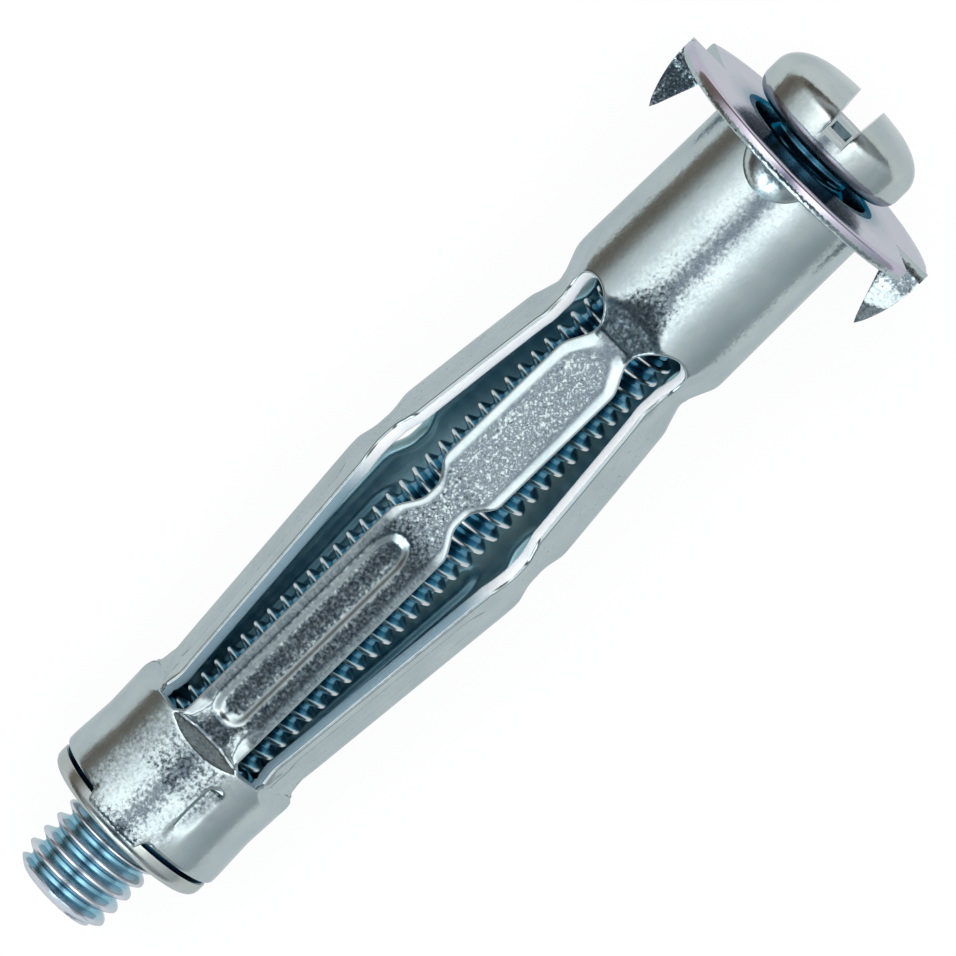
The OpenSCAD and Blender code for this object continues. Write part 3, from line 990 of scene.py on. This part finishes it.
def build_nut():
    builder = Builder()
    body = TAIL_BORE - 0.03
    flange = NUT_END - 1.0
    bore = THREAD_R + 0.06
    lathe(builder, [
        (bore + 0.4, NUT_TOP), (body - 0.3, NUT_TOP), (body, NUT_TOP + 0.3), (body, 48), (body, flange),
        (body + 0.3, flange), (NUT_R - 0.15, flange), (NUT_R - 0.05, flange + 0.03), (NUT_R, flange + 0.12),
        (NUT_R, flange + 0.5), (NUT_R - 0.03, flange + 0.68), (NUT_R - 0.12, flange + 0.84),
        (NUT_R - 0.26, flange + 0.95), (NUT_R - 0.42, NUT_END), (4.2, NUT_END), (bore + 0.4, NUT_END),
        (bore, NUT_END - 0.4), (bore, 48), (bore, NUT_TOP + 0.4),
    ])
    nut = place(builder.mesh("nut"), "nut", [nut_steel, under_steel])
    # painted shade: the nut's body, below its flange and inside the sleeve, gets the dark under-head colour
    for face in nut.data.polygons:
        face.material_index = 1 if to_local(face.center)[2] < flange + 0.01 else 0
    return nut


nut = build_nut()


# ---------------------------------------------------------------- the screw

def thread_r(phase):
    """The radius of the thread at a share of a turn's height, from one root to the next."""
    t = np.abs((phase % 1.0) - 0.5) * 2
    return ROOT_R + (THREAD_R - ROOT_R) * (1 - np.clip((t - 0.14) / 0.66, 0, 1))


def build_rod():
    builder = Builder()
    turns, per_turn = 64, 14
    start, end = HEAD_SEAT - 0.3, SCREW_END
    thread_top = -1.0
    count = int((end - start) / PITCH + 3) * per_turn
    turn = 2 * math.pi * np.arange(turns + 1) / turns
    base = start - PITCH + PITCH * np.arange(count) / per_turn
    z = base[:, None] + PITCH * turn[None, :] / (2 * math.pi)
    r = thread_r((base - 0.53) / PITCH)[:, None] + 0 * turn[None, :]
    tip = np.interp(z, [end - 0.62, end - 0.25, end], [3.0, 2.72, TIP_R])
    top = np.interp(z, [thread_top, thread_top + 0.8], [ROOT_R - 0.02, 3.0])
    r = np.minimum(np.minimum(r, tip), top)
    z = np.clip(z, start, end)
    builder.quads(builder.add(np.stack([r * np.cos(turn), r * np.sin(turn), z], -1)), THREAD)
    angle = turn[:-1]
    for level, edge in ((start, ROOT_R - 0.02), (end, TIP_R)):
        lines = [builder.add(circle(s, angle, level)) for s in (edge, 1.2, 0)]
        builder.quads(closed(lines), THREAD)
    return place(builder.mesh("rod", weld=0.0002), "rod", SCREW_FINISH)


def build_head():
    builder = Builder()
    high = HEAD_SEAT - HEAD_TOP
    seat, crown = 0.9, 2.4
    profile = [(0, 0), (1.2, 0), (2.2, 0), (HEAD_R - seat - 0.3, 0)]
    profile += [(HEAD_R - seat + seat * math.cos(t), seat + seat * math.sin(t))
                for t in np.radians(np.linspace(-90, 0, 12))]
    profile += [(HEAD_R - crown + crown * math.cos(t), high - 1.85 + 1.7 * math.sin(t))
                for t in np.radians(np.linspace(3, 72, 18))]
    profile += [(2.4, high - 0.125), (1.2, high - 0.045), (0, high - 0.01)]
    turn = np.linspace(0, 2 * math.pi, 128, endpoint=False)
    strip = closed([builder.add(circle(r, turn, HEAD_SEAT - h)) for r, h in profile])
    under = 9
    # painted shade: the underside of the head gets the dark under-head colour
    builder.quads(strip[:under], SCREW_NECK)
    builder.quads(strip[under - 1:], HEAD)
    return place(builder.mesh("head"), "head", SCREW_FINISH)


def tapered(low, high, name, mark):
    """A cutter through the head, each end given as its place, half its length and half its width."""
    builder = Builder()
    corners = ((-1, -1), (1, -1), (1, 1), (-1, 1))
    ends = [builder.add([[x * long, HEAD_SLOT_SHIFT + y * wide, z] for x, y in corners])
            for z, long, wide in (low, high)]
    builder.quads(closed(ends), mark)
    for end in ends:
        builder.face(end, mark)
    return place(builder.mesh(name), name, SCREW_FINISH)


SLOT_FLOOR = HEAD_TOP + HEAD_SLOT_DEPTH
rod = build_rod()
head = build_head()
slot = tapered((SLOT_FLOOR, 6, 0.72), (HEAD_TOP - 1, 6, 0.96), "slot", HEAD)
# painted shade: the pit's faces get the dark recess colour
pit = tapered((SLOT_FLOOR + 0.7, 0.6, 0.25), (SLOT_FLOOR - 0.05, 1.7, 0.6), "pit", RECESS)
for cutter in (slot, pit):
    join_or_cut(head, cutter, "DIFFERENCE")
soften(head, 0.1, 38)
join_or_cut(head, rod, "UNION")



# painted shade: the screw's neck, from under its head to just inside the sleeve, gets the dark under-head
# colour
for face in head.data.polygons:
    if face.material_index == THREAD and HEAD_SEAT - 0.1 < to_local(face.center)[2] < 1:
        face.material_index = SCREW_NECK
# marks for the materials: worked sets the grain; the others place painted highlight and painted shade on the
# cut walls, the collar and the thread
mark_vertices(sleeve, "worked", worked)
mark_vertices(sleeve, "upper", upper)
mark_vertices(sleeve, "clear", clear)
mark_vertices(head, "crest", crest)
finish_piece(sleeve, "anchor", "anchor_sleeve")
crease(sleeve, KNOB_SLOT)
finish_piece(nut, "anchor", "end_nut")
head.name = "screw"
finish_piece(head, "screw", "machine_screw")


# ---------------------------------------------------------------- the stage

def build_floor():
    long, wide = 0.3, 0.045
    mesh = bpy.data.meshes.new("floor")
    corners = [(-long, -wide, 0), (long, -wide, 0), (long, wide, 0), (-long, wide, 0)]
    mesh.from_pydata(corners, [], [(0, 1, 2, 3)])
    floor = place(mesh, "floor")
    material = bpy.data.materials.new("pale_floor")
    shading = Shading(material)
    shader = shading.nodes["Principled BSDF"]
    matt_white = {"Base Color": (0.95, 0.95, 0.95), "Roughness": 0.9, "Specular IOR Level": 0.0}
    for socket, value in matt_white.items():
        shading.feed(shader.inputs[socket], value)
    glow = shading.add("Emission", {"Strength": 1.0})
    seen = shading.sums("MAXIMUM", shading.ray("Camera"), shading.ray("Glossy"))
    seen = shading.sums("MAXIMUM", seen, shading.ray("Transmission"))
    shading.show("Material Output", shading.sums("MULTIPLY", seen, 0.9), shader.outputs[0], glow)
    mesh.materials.append(material)


# Light round the object: the turn about its axis in degrees from above, and the colour from there
BANDS = [
    (-180, (0.5, 0.5, 0.5)), (-115, (0.4, 0.4, 0.4)), (-106, (0.26, 0.22, 0.18)), (-90, (0.22, 0.18, 0.15)),
    (-80, (0.28, 0.25, 0.22)), (-74, (0.42, 0.41, 0.40)), (-66, (0.80, 0.82, 0.82)), (-56, (1.08, 1.1, 1.12)),
    (-48, (1.26, 1.28, 1.3)), (-38, (1.75, 1.75, 1.75)), (-29, (2.15, 2.15, 2.15)), (-19, (2.15, 2.15, 2.15)),
    (-12, (1.05, 1.08, 1.12)), (-6, (0.47, 0.52, 0.59)), (-2, (0.29, 0.34, 0.43)), (2, (0.31, 0.36, 0.45)),
    (7, (0.74, 0.79, 0.86)), (13, (1.8, 1.8, 1.85)), (26, (2.4, 2.4, 2.4)), (38, (1.5, 1.52, 1.55)),
    (48, (1.06, 1.08, 1.10)), (60, (0.86, 0.88, 0.90)), (75, (0.66, 0.70, 0.73)), (90, (0.52, 0.57, 0.60)),
    (115, (0.5, 0.5, 0.5)), (180, (0.5, 0.5, 0.5)),
]
# What the bands are multiplied by towards the tail (-1) and towards the head (1)
ENDS = [
    (-1.0, (1.8, 2.0, 2.1)), (-0.90, (2.4, 2.6, 2.7)), (-0.82, (1.2, 1.35, 1.4)),
    (-0.75, (0.04, 0.065, 0.09)),
    (-0.47, (0.02, 0.04, 0.06)), (-0.405, (0.025, 0.045, 0.065)), (-0.38, (0.08, 0.10, 0.125)),
    (-0.355, (0.36, 0.38, 0.40)), (-0.325, (0.9, 0.91, 0.92)), (-0.29, (1, 1, 1)), (0.25, (1, 1, 1)),
    (0.35, (1.35, 1.35, 1.35)), (0.58, (1.35, 1.35, 1.35)), (0.68, (0.12, 0.10, 0.09)),
    (0.82, (0.05, 0.045, 0.04)), (1.0, (0.25, 0.25, 0.25)),
]
# How far the ends act at each turn: fully from above, and less from the sides and from below
REACH = [(turn, (level, level, level)) for turn, level in ((-60, 0.45), (-34, 1.0), (34, 1.0), (60, 0.45))]


def build_world():
    """A studio round the object, as bands of light and shade. The camera itself sees white."""
    world = bpy.data.worlds.new("studio")
    bpy.context.scene.world = world
    shading = Shading(world)
    split = shading.nodes.new("ShaderNodeSeparateXYZ")
    shading.feed(split.inputs[0], shading.add("TexCoord", {}, "Generated"))
    roll = shading.sums("ARCTAN2", shading.sums("MULTIPLY", split.outputs["Y"], -1.0), split.outputs["Z"])
    turn = shading.ranged(roll, -math.pi, math.pi)
    bands = shading.ramp(turn, BANDS, -180, 180)
    ends = shading.ramp(shading.ranged(split.outputs["X"], -1, 1), ENDS, -1, 1)
    light = shading.blend(shading.ramp(turn, REACH, -180, 180), bands, ends, "MULTIPLY")
    level = shading.sums("MULTIPLY_ADD", shading.ray("Diffuse"), 0.35, 1.0)
    lit = shading.nodes["Background"]
    shading.feed(lit.inputs["Color"], light)
    shading.feed(lit.inputs["Strength"], level)
    white = shading.add("Background", {"Color": (1, 1, 1)})
    shading.show("World Output", shading.ray("Camera"), lit.outputs[0], white)


def build_camera():
    """Looks down on the lying anchor, turned so that its tail is low and to the left."""
    tilt, roll = math.radians(10), math.radians(44.28)
    distance, width = 1.25, 0.05104
    back = math.cos(tilt) * FRONT + math.sin(tilt) * HEADWARD
    along = HEADWARD - (HEADWARD @ back) * back
    along /= np.linalg.norm(along)
    beside = -SIDEWAYS
    right = math.cos(roll) * along + math.sin(roll) * beside
    up = math.sin(roll) * along - math.cos(roll) * beside
    aim = to_world([0, 0, 24.0]) - MM * (0.21 * right + 0.05 * up)
    data = bpy.data.cameras.new("camera")
    data.sensor_width = 36
    data.lens = data.sensor_width * distance / width
    data.clip_start, data.clip_end = 0.1, 10
    camera = bpy.data.objects.new("camera", data)
    bpy.context.scene.collection.objects.link(camera)
    spin = Matrix([[right[i], up[i], back[i]] for i in range(3)]).to_4x4()
    spin.translation = Vector(aim + distance * back)
    camera.matrix_world = spin
    bpy.context.scene.camera = camera


build_floor()
build_world()
build_camera()
bpy.context.scene.view_settings.view_transform = "Standard"
